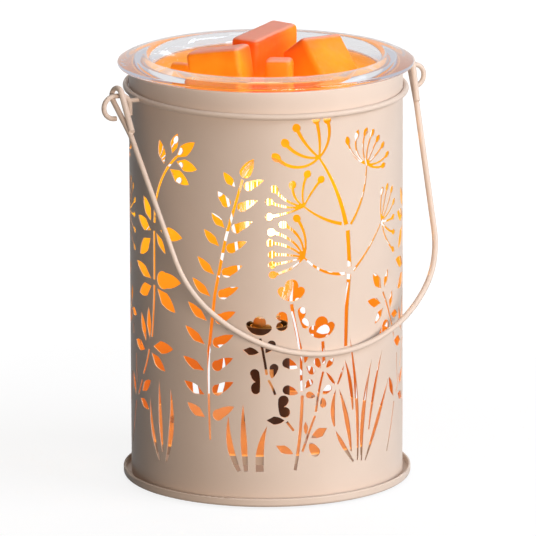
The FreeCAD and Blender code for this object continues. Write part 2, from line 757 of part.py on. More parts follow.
def platform_spacer(degrees):
    inner = screw_radius + screw_clearance
    spot = on_wall(degrees, platform_bolt_circle, tray_floor)
    height = platform_top - platform_sheet - tray_floor
    return Part.makeCylinder(inner + spacer_wall, height, spot).cut(Part.makeCylinder(inner, height, spot))


def facing_view(shape):
    """Turn a shape made towards -Y so that it faces the sleeve's window."""
    return turned_about_axis(shape, view_turn)


def socket_bracket():
    """An L-shaped brass strap: a foot on the platform and a leg up to the lamp holder."""
    low = platform_top
    foot = disc(bracket_foot, low, low + bracket_sheet)
    reach = holder_radius + bracket_sheet
    leg = Part.makeBox(bracket_width, bracket_sheet, bracket_top - low,
                       Vec(-bracket_width / 2, -reach, low))
    hole = Part.makeCylinder(screw_radius + screw_clearance, 4, Vec(0, 0, low - 1))
    return facing_view(foot.fuse(leg).removeSplitter().cut(hole))


def bracket_screw():
    """The screw that holds the bracket, its head on the bracket's foot."""
    seat = platform_top + bracket_sheet
    end = platform_top - platform_sheet - nut_height - screw_end
    shank = disc(screw_radius, end, seat)
    head = disc(screw_head_radius, seat, seat + bracket_screw_head)
    slot = Part.makeBox(2 * screw_head_radius, 0.8, 0.7,
                        Vec(-screw_head_radius, -0.4, seat + bracket_screw_head - 0.7))
    return shank.fuse(head).removeSplitter().cut(slot)


def socket_holder():
    """The dark moulded block that carries the screw shell."""
    block = disc(holder_radius, holder_low, holder_high)
    well = disc(contact_width, holder_high - 1.6, holder_high + 1)
    return block.cut(well)


def socket_shell():
    """The brass screw shell, with ridges that stand for its thread."""
    inner = cap_radius + cap_thread_depth + bulb_clearance
    points = [rz(inner + shell_wall, holder_high), rz(inner + shell_wall, socket_shell_top),
              rz(inner, socket_shell_top), rz(inner, holder_high + shell_wall),
              rz(contact_width, holder_high + shell_wall), rz(contact_width, holder_high)]
    return turned(points)


def socket_contact():
    """A sprung brass tongue under the bulb's tip."""
    low = holder_high - 1.6
    half = contact_width / 2
    foot = Part.makeBox(contact_width * 1.4, half, contact_sheet, Vec(-contact_width / 2, -half / 2, low))
    rise = cap_tip() - bulb_clearance - contact_sheet
    leg = Part.makeBox(contact_sheet, half, rise - low + contact_sheet,
                       Vec(-contact_width / 2, -half / 2, low))
    top = Part.makeBox(contact_width, half, contact_sheet, Vec(-contact_width / 2, -half / 2, rise))
    return foot.fuse([leg, top]).removeSplitter()


def socket_sleeve():
    """The dark tube round the lamp holder, with a window on each side at the terminals."""
    low = platform_top + bracket_sheet
    sleeve = tube(sleeve_radius, sleeve_radius - sleeve_wall, low, sleeve_top)
    window = Part.makeBox(window_width, 4 * sleeve_radius, window_high - window_low,
                          Vec(-window_width / 2, -2 * sleeve_radius, window_low))
    return sleeve.cut(facing_view(window))


def cap_tip():
    return cap_low - cap_glass_height - cap_tip_height


def bulb_cap():
    """The bulb's brass screw cap, its thread drawn as rounded ridges."""
    points = [rz(cap_radius - cap_wall, cap_low), rz(cap_radius, cap_low)]
    low = cap_low + 0.8
    ridges = int((cap_top - cap_low - 4.0) / cap_thread_pitch)
    for index in range(ridges):
        start = low + index * cap_thread_pitch
        points.append(rz(cap_radius, start))
        points.append((rz(cap_radius + cap_thread_depth, start + cap_thread_pitch * 0.4),
                       rz(cap_radius, start + cap_thread_pitch * 0.8)))
    points += [rz(cap_radius, cap_top), rz(cap_radius - cap_wall, cap_top)]
    return turned(points)


def cap_glass():
    """The dark glass insulator that closes the cap's lower end."""
    low = cap_low - cap_glass_height
    return turned([rz(0, low), rz(cap_tip_radius, low), rz(cap_radius - 0.4, cap_low), rz(0, cap_low)])


def cap_contact():
    """The solder tip in the middle of the insulator."""
    low = cap_tip()
    high = cap_low - cap_glass_height
    edge = cap_tip_radius - 0.4
    return turned([rz(0, low), (rz(edge * 0.75, low + 0.3), rz(edge, high)), rz(0, high)])


def glass_outline(inset):
    """The right half of the bulb's outline, from its neck to its crown."""
    radius = glass_radius - inset
    neck = glass_neck_radius - inset
    low = cap_top - 2.5
    neck_top = cap_top + 1.5
    dome = glass_top - glass_radius
    bend_r = neck + (radius - neck) * 0.62
    bend_z = neck_top + (glass_shoulder - neck_top) * 0.45
    slant = math.sqrt(0.5)
    return [rz(neck, low), rz(neck, neck_top), (rz(bend_r, bend_z), rz(radius, glass_shoulder)),
            rz(radius, dome), (rz(radius * slant, dome + radius * slant), rz(0, dome + radius))]


def backwards(points):
    """The same outline walked the other way."""
    stops = [points[0]]
    middles = []
    for step in points[1:]:
        plain = isinstance(step, Vec)
        middles.append(None if plain else step[0])
        stops.append(step if plain else step[1])
    walked = [stops[-1]]
    for index in range(len(middles) - 1, -1, -1):
        end = stops[index]
        walked.append(end if middles[index] is None else (middles[index], end))
    return walked


def bulb_glass():
    """The clear tubular envelope, with a thin even wall."""
    outside = glass_outline(0)
    inside = backwards(glass_outline(glass_wall))
    return turned(outside + inside)


def bulb_stem():
    """The glass mount inside: a flare in the neck, a tube, a flat pinch, a rod and its two buttons."""
    low = cap_top - 2.5
    neck = glass_neck_radius - glass_wall
    flare = turned([rz(0, low), rz(neck, low), rz(neck, low + 0.8),
                    (rz(stem_radius + 0.7, low + 1.6), rz(stem_radius, low + 4.0)),
                    rz(stem_radius, stem_top), rz(0, stem_top)])
    pinch = Part.makeBox(2.4 * stem_radius, 1.8, pinch_top - stem_top + 0.5,
                         Vec(-1.2 * stem_radius, -0.9, stem_top - 0.5))
    rod = disc(rod_radius, pinch_top - 0.5, strand_high)
    low_button = Part.makeSphere(button_radius, Vec(0, 0, strand_low - 1.0))
    high_button = Part.makeSphere(button_radius, Vec(0, 0, strand_high))
    return flare.fuse([pinch, rod, low_button, high_button]).removeSplitter()


def strand_angle(index):
    return index * 360.0 / strand_count


def strand_spot(index, height, radius=None):
    circle = strand_circle if radius is None else radius
    return on_wall(strand_angle(index), circle, height)


def filament():
    """One wire that runs up and down the cage, turning round at each end of a strand."""
    turn_radius = strand_circle * math.sin(math.pi / strand_count)
    edges = []
    for index in range(strand_count):
        low = strand_spot(index, strand_low)
        high = strand_spot(index, strand_high)
        upward = index % 2 == 0
        start = low if upward else high
        end = high if upward else low
        edges.append(Part.LineSegment(start, end).toShape())
        if index < strand_count - 1:
            height = strand_high + turn_radius if upward else strand_low - turn_radius
            crown = strand_spot(index + 0.5, height, strand_circle * math.cos(math.pi / strand_count))
            following = strand_spot(index + 1, strand_high if upward else strand_low)
            edges.append(Part.Arc(end, crown, following).toShape())
    return capped(wire_along(edges, strand_radius))


def filament_hooks():
    """Fine wires from the two buttons out to each turn of the filament."""
    turn_radius = strand_circle * math.sin(math.pi / strand_count)
    reach = strand_circle * math.cos(math.pi / strand_count)
    rest = turn_radius - strand_radius - hook_radius - hook_gap
    hooks = []
    for index in range(strand_count - 1):
        upward = index % 2 == 0
        centre_height = strand_high if upward else strand_low - 1.0
        end_height = strand_high + rest if upward else strand_low - rest
        angle = strand_angle(index + 0.5)
        start = on_wall(angle, button_radius - 0.4, centre_height)
        end = on_wall(angle, reach + 0.5, end_height)
        way = end - start
        hooks.append(Part.makeCylinder(hook_radius, way.Length, start, way))
    return hooks


def bulb_supports():
    """The hooks as one fan of wires on each button, cut where they enter the glass."""
    fan = Part.makeCompound([hook.cut(bulb_stem()) for hook in filament_hooks()])
    return fan


def neck_hoop():
    """A wire ring round the neck, a little lower at the front where the handle hangs."""
    ring = Part.makeTorus(body_radius + hoop_clearance + hoop_wire, hoop_wire)
    ring.rotate(ORIGIN, Vec(1, 0, 0), hoop_tilt)
    ring.translate(Vec(0, 0, hoop_height))
    return ring


def ear(side):
    """An open ring of wire on a short peg, with its cut end hanging beside the wall."""
    across = ear_half_width
    tall = ear_half_height
    inner = ear_reach - across
    outer = ear_reach + across
    low = ear_height - tall
    high = ear_height + tall
    bend = tall * 0.93
    slack = bend * (1 - math.sqrt(0.5))
    points = [rz(inner, low + 0.9), rz(inner, high - bend),
              (rz(inner + slack, high - slack), rz(inner + bend, high)), rz(outer - tall, high),
              (rz(outer, ear_height), rz(outer - tall, low)), rz(outer - tall - 0.8, low)]
    ring = capped(wire_along(run(points), ear_wire))
    peg_height = hoop_height - 0.3
    peg = Part.makeCylinder(ear_wire * 0.9, inner - body_radius, rz(body_radius + hoop_wire, peg_height),
                            Vec(1, 0, 0))
    ear_solid = ring.fuse(peg).removeSplitter()
    ear_solid = ear_solid.cut(neck_hoop())
    ear_solid = max(ear_solid.Solids, key=lambda solid: solid.Volume)
    return ear_solid if side > 0 else ear_solid.mirror(ORIGIN, Vec(1, 0, 0))


def pivot_height():
    """The handle turns about the top wire of each ear."""
    return ear_height + ear_half_height


def rest_lean():
    """How far the hanging handle leans out to clear the wall."""
    out = body_radius + bail_wall_clearance + bail_wire
    return math.degrees(math.asin(out / bail_drop))


def bail_spot(across, down, back):
    """A spot of the handle as it hangs: across the ears, down its own plane, and off that plane."""
    lean = math.radians(rest_lean())
    y = -down * math.sin(lean) + back * math.cos(lean)
    z = pivot_height() - down * math.cos(lean) - back * math.sin(lean)
    return Vec(across, y, z)


def bail_edges():
    """The handle's path: an eye, a leg, the bowed bottom, the other leg and the other eye."""
    slope = bail_leg_slope
    stretch = math.sqrt(1 + slope ** 2)
    span = ear_reach
    bottom = bail_drop - bail_bottom_radius
    gap = bail_bottom_radius - bail_corner_radius
    inner = span - bail_corner_radius * stretch
    a = 1 + slope ** 2
    b = -2 * (slope * inner + bottom)
    c = inner ** 2 + bottom ** 2 - gap ** 2
    down = (-b + math.sqrt(b * b - 4 * a * c)) / (2 * a)
    centre = (inner - slope * down, down)
    leg_end = (centre[0] + bail_corner_radius / stretch, centre[1] + bail_corner_radius * slope / stretch)
    way = (centre[0] / gap, (centre[1] - bottom) / gap)
    corner_end = (way[0] * bail_bottom_radius, bottom + way[1] * bail_bottom_radius)
    between = math.atan2(slope, 1) + (math.atan2(way[1], way[0]) - math.atan2(slope, 1)) / 2
    corner_middle = (centre[0] + bail_corner_radius * math.cos(between),
                     centre[1] + bail_corner_radius * math.sin(between))
    right = eye_edges(1)
    left = eye_edges(-1)
    leg_start = eye_leg_end()
    edges = list(right)
    edges.append(Part.LineSegment(bail_spot(leg_start[0], leg_start[1], 0),
                                  bail_spot(leg_end[0], leg_end[1], 0)).toShape())
    edges.append(Part.Arc(bail_spot(leg_end[0], leg_end[1], 0), bail_spot(*corner_middle, 0),
                          bail_spot(*corner_end, 0)).toShape())
    edges.append(Part.Arc(bail_spot(*corner_end, 0), bail_spot(0, bail_drop, 0),
                          bail_spot(-corner_end[0], corner_end[1], 0)).toShape())
    edges.append(Part.Arc(bail_spot(-corner_end[0], corner_end[1], 0),
                          bail_spot(-corner_middle[0], corner_middle[1], 0),
                          bail_spot(-leg_end[0], leg_end[1], 0)).toShape())
    edges.append(Part.LineSegment(bail_spot(-leg_end[0], leg_end[1], 0),
                                  bail_spot(-leg_start[0], leg_start[1], 0)).toShape())
    edges += reversed_path(left)
    return edges


def reversed_path(edges):
    """The same edges walked from the other end."""
    walked = []
    for edge in reversed(edges):
        first = edge.Vertexes[0].Point
        last = edge.Vertexes[-1].Point
        if edge.Curve.TypeId == "Part::GeomLine":
            walked.append(Part.LineSegment(last, first).toShape())
        else:
            middle = edge.valueAt((edge.FirstParameter + edge.LastParameter) / 2)
            walked.append(Part.Arc(last, middle, first).toShape())
    return walked


def eye_leg_end():
    """Where the leg leaves the eye's slanted run, on the leg's own line."""
    down = eye_length + 6.0
    return (ear_reach - bail_leg_slope * down, down)


def rounded(points, radii):
    """Lines through the points with a tangent arc at each inner point."""
    edges = []
    here = points[0]
    for index in range(1, len(points) - 1):
        corner = points[index]
        back = (points[index - 1] - corner).normalize()
        ahead = (points[index + 1] - corner).normalize()
        half = back.getAngle(ahead) / 2
        cut = radii[index - 1] / math.tan(half)
        start = corner + back * cut
        end = corner + ahead * cut
        bisector = (back + ahead).normalize()
        middle = corner + bisector * (radii[index - 1] / math.sin(half) - radii[index - 1])
        edges.append(Part.LineSegment(here, start).toShape())
        edges.append(Part.Arc(start, middle, end).toShape())
        here = end
    edges.append(Part.LineSegment(here, points[-1]).toShape())
    return edges


def eye_edges(side):
    """The teardrop that loops over the ear's top wire, from its cut end to the leg."""
    turn = math.radians(eye_turn)

    def spot(off, down):
        across = ear_reach - bail_leg_slope * max(down, 0) + off * math.cos(turn)
        return bail_spot(side * across, down, off * math.sin(turn))
    half = eye_half_width
    tail = spot(-eye_lap, eye_length)
    tail_top = spot(-half, 0)
    leg_top = spot(half, 0)
    crown = spot(0, -half)
    leg_bend = spot(0.0, eye_length + 1.0)
    leg_end = eye_leg_end()
    lower = bail_spot(side * leg_end[0], leg_end[1], 0)
    edges = [Part.LineSegment(tail, tail_top).toShape(), Part.Arc(tail_top, crown, leg_top).toShape()]
    edges += rounded([leg_top, leg_bend, lower], [12.0])
    return edges


def bail():
    return capped(wire_along(bail_edges(), bail_wire))


def glass_dish():
    """A shallow pressed-glass bowl with a broad rounded lip that lies on the body's top edge."""
    seat = body_top + dish_seat_gap
    lip = dish_lip_radius
    edge = seat + dish_lip_height
    crown = seat + dish_crown
    mouth = dish_mouth_radius
    shoulder = body_radius - rim_turn - dish_seat_clearance
    floor = dish_floor_inside
    under = floor - dish_floor_thickness
    wall = mouth - 1.2
    outer = wall + dish_wall
    bend = 0.29
    inner_rise = floor + 10.0
    outer_rise = under + 12.0
    crest = mouth + 3.2
    points = [rz(0, under), rz(dish_floor_radius, under),
              (rz(outer - (outer - dish_floor_radius) * bend, under + 12.0 * bend), rz(outer, outer_rise)),
              (rz(outer + 1.4, seat - 3.2), rz(shoulder, seat)),
              rz(lip - 1.2, seat), (rz(lip, seat + 1.1), rz(lip - 0.7, edge)),
              (rz((lip + crest) / 2, crown - 0.35), rz(crest, crown)),
              (rz(mouth + 0.9, crown - 0.8), rz(mouth, crown - 2.8)),
              rz(wall, inner_rise),
              (rz(wall - (wall - dish_floor_radius) * bend, floor + 10.0 * bend),
               rz(dish_floor_radius, floor)),
              rz(0, floor)]
    return turned(points)


def wax_block(length, width, height):
    """A wax melt: a block with soft edges, its middle at the origin."""
    block = Part.makeBox(length, width, height, Vec(-length / 2, -width / 2, -height / 2))
    return block.makeFillet(melt_edge, block.Edges)


def lowest(shape):
    """The height of a shape's lowest point."""
    return shape.optimalBoundingBox(False).ZMin


def melt(size, across, back, turn, rise=0.0, pitch=0.0, lift=0.0):
    """A melt on the dish's floor: turned about Z, with its right end raised and its back edge raised."""
    block = wax_block(*size)
    block.rotate(ORIGIN, Vec(1, 0, 0), pitch)
    block.rotate(ORIGIN, Vec(0, 1, 0), -rise)
    block.rotate(ORIGIN, UP, turn)
    block.translate(Vec(across, back, dish_floor_inside + melt_seat_gap + lift - lowest(block)))
    return facing_view(block)


def wax_melts():
    return [melt((24.6, 15.6, 21.7), -18.6, -10.8, -21.0, rise=8.5),
            melt((33.5, 13.8, 27.2), -0.4, 12.8, 58.0),
            melt((27.0, 21.5, 15.0), 23.2, 2.4, 52.2, rise=-5.0, pitch=-127.0),
            melt((12.0, 10.5, 18.6), 5.6, -11.2, -8.0),
            melt((12.0, 10.5, 11.5), -34.2, 10.4, 62.0, rise=-16.0),
            melt((12.5, 10.0, 9.5), 24.3, 23.6, -46.0)]


def cable_bush():
    """A rubber bush that lines the cable's way out of the wall, its two flanges against the sheet."""
    sag = body_inside - math.sqrt(body_inside ** 2 - bush_flange ** 2)
    inner_face = body_inside - sag - bush_flange_clearance
    outer_face = body_radius + bush_flange_clearance
    inner_end = inner_face - bush_flange_thickness
    outer_end = outer_face + bush_flange_thickness
    edge = bush_flange_thickness * 0.6
    points = [rz(bush_bore, inner_end), rz(bush_flange, inner_end), rz(bush_flange, inner_face),
              rz(bush_neck, inner_face), rz(bush_neck, outer_face), rz(bush_flange, outer_face),
              (rz(bush_flange - 0.3 * edge, outer_end - 0.3 * edge), rz(bush_flange - edge, outer_end)),
              rz(bush_bore, outer_end)]
    bush = turned(points)
    bush.rotate(ORIGIN, Vec(1, 0, 0), 90)
    bush = turned_about_axis(bush, bush_turn)
    bush.translate(Vec(0, 0, bush_height))
    return bush


def main():
    os.makedirs("parts", exist_ok=True)
    export("base_tray", base_tray())
    for index in range(foot_count):
        export("rubber_foot_%d" % (index + 1), rubber_foot(index))
    export("pierced_body", pierced_body())
    tab_top = tray_floor + tab_sheet
    for index, degrees in enumerate(tab_angles()):
        number = index + 1
        export("body_tab_%d" % number, body_tab(degrees))
        export("tab_screw_%d" % number, screw(tab_screw_circle(), degrees, tab_top + nut_height + screw_end))
        export("tab_nut_%d" % number, nut(tab_screw_circle(), degrees, tab_top))
    export("socket_platform", socket_platform())
    for index, degrees in enumerate(bolt_angles()):
        number = index + 1
        export("platform_spacer_%d" % number, platform_spacer(degrees))
        export("platform_bolt_%d" % number,
               screw(platform_bolt_circle, degrees, platform_top + nut_height + screw_end))
        export("platform_nut_%d" % number, nut(platform_bolt_circle, degrees, platform_top))
    export("socket_bracket", socket_bracket())
    export("bracket_screw", bracket_screw())
    export("bracket_nut", nut(0, 0, platform_top - platform_sheet - nut_height))
    export("socket_holder", socket_holder())
    export("socket_shell", socket_shell())
    export("socket_contact", socket_contact())
    export("socket_sleeve", socket_sleeve())
    export("bulb_cap", bulb_cap())
    export("bulb_cap_insulator", cap_glass())
    export("bulb_cap_contact", cap_contact())
    export("bulb_glass", bulb_glass())
    export("bulb_stem", bulb_stem())
    export("bulb_filament", filament())
    export("bulb_filament_supports", bulb_supports())
    export("neck_hoop", neck_hoop())
    export("ear_left", ear(-1))
    export("ear_right", ear(1))
    export("bail", bail())
    export("glass_dish", glass_dish())
    for index, melt in enumerate(wax_melts()):
        export("wax_melt_%d" % (index + 1), melt)
    export("cable_bush", cable_bush())


main()
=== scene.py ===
import json
import math
import bmesh
import bpy
from mathutils import Matrix, Vector, noise

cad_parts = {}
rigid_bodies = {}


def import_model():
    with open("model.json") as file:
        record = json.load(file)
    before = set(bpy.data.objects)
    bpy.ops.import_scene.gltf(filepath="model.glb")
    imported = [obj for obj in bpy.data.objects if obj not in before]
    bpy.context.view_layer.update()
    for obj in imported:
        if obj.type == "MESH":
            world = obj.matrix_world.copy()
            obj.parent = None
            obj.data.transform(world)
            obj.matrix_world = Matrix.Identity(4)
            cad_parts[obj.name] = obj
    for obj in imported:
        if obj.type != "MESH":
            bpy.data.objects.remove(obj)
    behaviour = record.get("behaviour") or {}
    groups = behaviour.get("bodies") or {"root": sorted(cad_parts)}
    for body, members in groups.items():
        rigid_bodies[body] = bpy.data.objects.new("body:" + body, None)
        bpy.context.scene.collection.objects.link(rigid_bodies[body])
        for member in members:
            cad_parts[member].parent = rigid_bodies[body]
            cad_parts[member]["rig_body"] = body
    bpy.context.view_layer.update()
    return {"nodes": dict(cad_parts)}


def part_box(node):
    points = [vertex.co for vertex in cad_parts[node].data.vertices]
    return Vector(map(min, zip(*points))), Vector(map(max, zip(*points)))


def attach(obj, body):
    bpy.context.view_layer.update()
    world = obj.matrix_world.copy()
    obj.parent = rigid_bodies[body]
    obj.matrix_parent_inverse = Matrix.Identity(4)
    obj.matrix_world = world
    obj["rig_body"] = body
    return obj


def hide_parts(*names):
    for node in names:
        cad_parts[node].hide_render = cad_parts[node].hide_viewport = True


# A lit wax warmer: a pierced, satin-painted lantern body with a wire handle, a clear pressed-glass dish
# of orange wax melts on its rim and a tubular filament bulb glowing inside. Metres, +Z up.

MM = 0.001
weld_distance = 0.01

# Camera
view_distance = 2.8
view_turn = math.radians(-27.5)
view_pitch = math.radians(13.0)
view_roll = math.radians(-0.2)
view_target = Vector((0.0, 0.0, 0.0892))
lens_length = 445.7
sensor_width = 36.0
frame_shift = 0.003
view_limit = 20.0

# Studio: the white that the camera sees, the share of it that glass and paint show, and the light it gives
background_white = 1.0
glass_white = 0.82
ambient_level = 0.02

# Floor: its half width, paint, and glow close to the part, dimmer there as a painted shadow, and far from it
floor_half = 3.0
floor_colour = (0.18, 0.175, 0.175)
floor_near = 0.08
floor_far = 0.50
floor_painted_shadow_white = 0.86
floor_white = 0.96

# Soft boxes: degrees to the right of the camera, height and distance in metres, size, watts and colour
key_turn = 68.0
key_height = 0.85
key_distance = 1.5
key_size = 1.1
key_power = 22.5
key_colour = (0.91, 1.0, 1.10)
front_turn = 17.0
front_height = 0.15
front_distance = 1.8
front_size = 0.8
front_power = 31.0
front_colour = (1.0, 0.88, 0.77)
top_turn = 20.0
top_height = 1.7
top_distance = 0.35
top_size = 1.0
top_power = 5.0
top_colour = (1.0, 1.0, 1.0)
back_turn = 180.0
back_height = 0.5
back_distance = 1.8
back_size = 1.2
back_power = 20.0
back_colour = (1.0, 0.95, 0.90)

# Bulb light and the filament's height, in mm
lamp_height = 108.0
lamp_radius = 8.0
lamp_power = 0.10
lamp_colour = (1.0, 0.56, 0.16)
filament_low = 88.0
filament_high = 129.0
filament_fade = 5.0

# Body, in mm
body_radius = 57.5
body_sheet = 0.6
wall_within = 54.0
rim_height = 176.0
tray_radius = 55.5
tray_floor_top = 4.0
platform_top = 22.0

# Painted light of the bulb on the inside of the wall, given as glow: share of the lit height, and colour
lit_height = 170.0
painted_wall_light = (
    (0.0, (0.16, 0.115, 0.090)),
    (0.14, (0.42, 0.080, 0.012)),
    (0.22, (0.50, 0.090, 0.010)),
    (0.40, (0.76, 0.210, 0.006)),
    (0.69, (0.90, 0.450, 0.001)),
    (0.80, (0.82, 0.320, 0.002)),
    (1.0, (0.80, 0.270, 0.004)),
)

# Painted light of the bulb in the wax, given as glow from the melts' feet up, and how far from the axis its
# red heart reaches, in mm
wax_foot = 162.0
wax_rise = 26.0
red_within = 8.0
red_out_by = 26.0
wax_painted_underlight = (
    (0.0, (0.95, 0.48, 0.010)),
    (0.45, (0.60, 0.160, 0.004)),
    (1.0, (0.20, 0.018, 0.001)),
)

# A ray that has met more surfaces than this sees the glass's stand-in, part clear and part a painted silver
# reflection
glass_bounces = 3.5

# Glass dish, in mm: its seat on the rim, floor, wall and lip, and the steps of its arcs and its turn
dish_seat = 177.02
dish_seat_radius = 54.7
dish_floor = 4.0
dish_flat = 37.0
dish_wall = 3.0
dish_outer_rise = 12.0
dish_inner_rise = 10.0
dish_lip_width = 13.8
dish_mouth_step = 1.2
dish_crest_step = 3.2
quarter_sag = 0.29
wall_steps = 10
lip_steps = 8
dish_turns = 160

# Melts: even mesh, rounds of smoothing, and how far and how finely the faces wander
melt_count = 6
melt_grid = 0.55
melt_rounds = 3
melt_inset = 0.22
melt_wave = 0.20
melt_ripple = 0.05
wave_scale = 110.0
ripple_scale = 420.0

# The topmost melt has slumped towards its left end: its number, the way its length points, and its slope
slumped_melt = 2
slump_turn = 58.0
slump_slope = 0.087
slump_drop = 1.15

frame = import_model()
nodes = frame["nodes"]


class Wire:
    """One socket of a node tree. Arithmetic on wires adds Math nodes, and node() adds any other node."""

    def __init__(self, tree, socket=None):
        self.tree = tree
        self.socket = socket

    def node(self, kind, settings=None, inputs=None, out=0):
        made = self.tree.nodes.new(kind)
        for name, value in (settings or {}).items():
            if name == "stops":
                ramp = made.color_ramp.elements
                while len(ramp) < len(value):
                    ramp.new(0.5)
                for element, (share, tone) in zip(ramp, value):
                    element.position = share
                    element.color = (*tone, 1.0)
            else:
                setattr(made, name, value)
        for name, value in (inputs or {}).items():
            if isinstance(value, Wire):
                self.tree.links.new(value.socket, made.inputs[name])
            else:
                made.inputs[name].default_value = value
        return Wire(self.tree, made.outputs[out] if len(made.outputs) else None)

    def math(self, operation, *values):
        inputs = dict(enumerate(values))
        return self.node("ShaderNodeMath", {"operation": operation}, inputs)

    def __add__(self, other):
        return self.math("ADD", self, other)

    def __radd__(self, other):
        return self.math("ADD", other, self)

    def __sub__(self, other):
        return self.math("SUBTRACT", self, other)

    def __rsub__(self, other):
        return self.math("SUBTRACT", other, self)

    def __mul__(self, other):
        return self.math("MULTIPLY", self, other)

    def __rmul__(self, other):
        return self.math("MULTIPLY", other, self)

    def __truediv__(self, other):
        return self.math("DIVIDE", self, other)

    def __pow__(self, other):
        return self.math("POWER", self, other)

    def ease(self, low, high):
        """0 at low and below, 1 at high and above, smooth between."""
        inputs = {"Value": self, "From Min": low, "From Max": high}
        return self.node("ShaderNodeMapRange", {"interpolation_type": "SMOOTHSTEP"}, inputs)

    def mix(self, first, second):
        """A colour between two, by this wire as the factor."""
        return self.node("ShaderNodeMix", {"data_type": "RGBA"}, {0: self, 6: first, 7: second}, 2)

    def ramp(self, *stops):
        return self.node("ShaderNodeValToRGB", {"stops": stops}, {"Fac": self})

    def noise(self, scale, detail=2.0):
        """Even noise over the Object coordinates of this wire."""
        return self.node("ShaderNodeTexNoise", None, {"Vector": self, "Scale": scale, "Detail": detail})

    def bump(self, strength, distance):
        return self.node("ShaderNodeBump", None, {"Height": self, "Strength": strength, "Distance": distance})

    def parts(self):
        """The three parts of a vector."""
        split = self.node("ShaderNodeSeparateXYZ", None, {"Vector": self})
        outputs = split.socket.node.outputs
        return [Wire(self.tree, outputs[index]) for index in range(3)]


def colour(red, green, blue):
    return (red, green, blue, 1.0)


def new_material(name):
    """A material with nothing in its tree yet, and a wire of its Object coordinates."""
    material = bpy.data.materials.new(name)
    material.use_nodes = True
    tree = material.node_tree
    tree.nodes.clear()
    place = Wire(tree).node("ShaderNodeTexCoord", out="Object")
    return material, place


def spread(place):
    """Distance from the part's upright axis, and height."""
    across, back, height = place.parts()
    return (across * across + back * back) ** 0.5, height


def light_path(start, *names):
    """Wires of what the renderer knows of the ray."""
    outputs = start.node("ShaderNodeLightPath").socket.node.outputs
    return [Wire(start.tree, outputs[name]) for name in names]


def surface(place, shader):
    place.node("ShaderNodeOutputMaterial", None, {"Surface": shader})


def principled(place, **sockets):
    """The main shader, its sockets named with underscores for spaces."""
    inputs = {name.replace("_", " "): value for name, value in sockets.items()}
    return place.node("ShaderNodeBsdfPrincipled", None, inputs)


def painted_bulb_light(height):
    """Painted light of the bulb on the inside of the wall, given as glow, by height in metres."""
    share = height.ease((platform_top - 2.0) * MM, platform_top * MM) * (height / (lit_height * MM))
    return share.ramp(*painted_wall_light)


def satin_paint():
    """Warm beige satin paint. The inside of the wall is a darker, more orange copy of the paint as painted
    shade, and it and the tray's floor carry the bulb's light as a painted glow.
    """
    material, place = new_material("warm_satin_paint")
    radius, height = spread(place)
    clouds = place.noise(28.0, 3.0)
    grain = place.noise(1500.0, 2.0)
    outer = clouds.ease(0.25, 0.75).mix(colour(0.695, 0.555, 0.460), colour(0.730, 0.590, 0.495))
    inside = 1.0 - radius.ease((body_radius - body_sheet + 0.02) * MM, (body_radius - 0.12) * MM)
    under_rim = 1.0 - height.ease(rim_height * MM, (rim_height + 0.3) * MM)
    in_wall = inside * radius.ease(wall_within * MM, (wall_within + 0.5) * MM) * under_rim
    # Painted shade: the inside of the wall is a darker, more orange copy of the outer paint
    base = in_wall.mix(outer, colour(0.24, 0.10, 0.02))
    up_facing_for_painted_light = place.node("ShaderNodeNewGeometry", out="Normal").parts()[2].ease(0.5, 0.9)
    low = 1.0 - height.ease(tray_floor_top * MM, (tray_floor_top + 2.0) * MM)
    in_tray = up_facing_for_painted_light * (1.0 - radius.ease(tray_radius * MM, (tray_radius + 1.0) * MM)) * low
    # Painted light: a faint glow on the upward faces of the tray's floor, under the shelf
    tray_painted_light = in_tray.mix(colour(0.0, 0.0, 0.0), colour(0.22, 0.155, 0.12))
    # Painted light: the bulb's glow on the inside of the wall, with the tray's painted glow below it
    glow = in_wall.mix(tray_painted_light, painted_bulb_light(height))
    normal = grain.bump(0.05, 0.0002)
    shader = principled(place, Base_Color=base, Roughness=0.40 + 0.10 * clouds, Specular_IOR_Level=0.14,
                        Sheen_Weight=0.12, Sheen_Roughness=0.45, Emission_Color=glow,
                        Emission_Strength=1.0, Normal=normal)
    surface(place, shader)
    return material


def zinc_steel():
    """Bright zinc plate with a brushed, slightly clouded face."""
    material, place = new_material("zinc_steel")
    clouds = place.noise(160.0, 3.0)
    base = clouds.mix(colour(0.42, 0.43, 0.44), colour(0.62, 0.62, 0.62))
    shader = principled(place, Base_Color=base, Metallic=1.0, Roughness=0.28 + 0.22 * clouds,
                        Normal=place.noise(2200.0).bump(0.08, 0.0002))
    surface(place, shader)
    return material


def platform_painted_light():
    """The steel shelf under the bulb, its lip painted in a beige darker than the wall's, as painted shade.
    Its top carries the bulb's light as a painted glow, brighter towards its edge, and its other faces a faint
    painted glow.
    """
    material, place = new_material("platform_painted_light")
    radius, height = spread(place)
    clouds = place.noise(120.0, 3.0)
    # Painted shade: the shelf's beige is darker than the wall's paint
    base = clouds.mix(colour(0.36, 0.26, 0.19), colour(0.44, 0.32, 0.24))
    edge = radius.ease(wall_within * MM, (wall_within + 2.0) * MM)
    # Painted light: the bulb's glow on the shelf's top, brighter towards its edge
    warm = edge.mix(colour(0.36, 0.095, 0.015), colour(0.72, 0.280, 0.035))
    on_top = height.ease((platform_top - 0.5) * MM, (platform_top - 0.3) * MM)
    # Painted light: a faint glow on the shelf's other faces
    glow = on_top.mix(colour(0.12, 0.080, 0.060), warm)
    shader = principled(place, Base_Color=base, Roughness=0.45 + 0.2 * clouds, Specular_IOR_Level=0.2,
                        Emission_Color=glow, Emission_Strength=1.0)
    surface(place, shader)
    return material


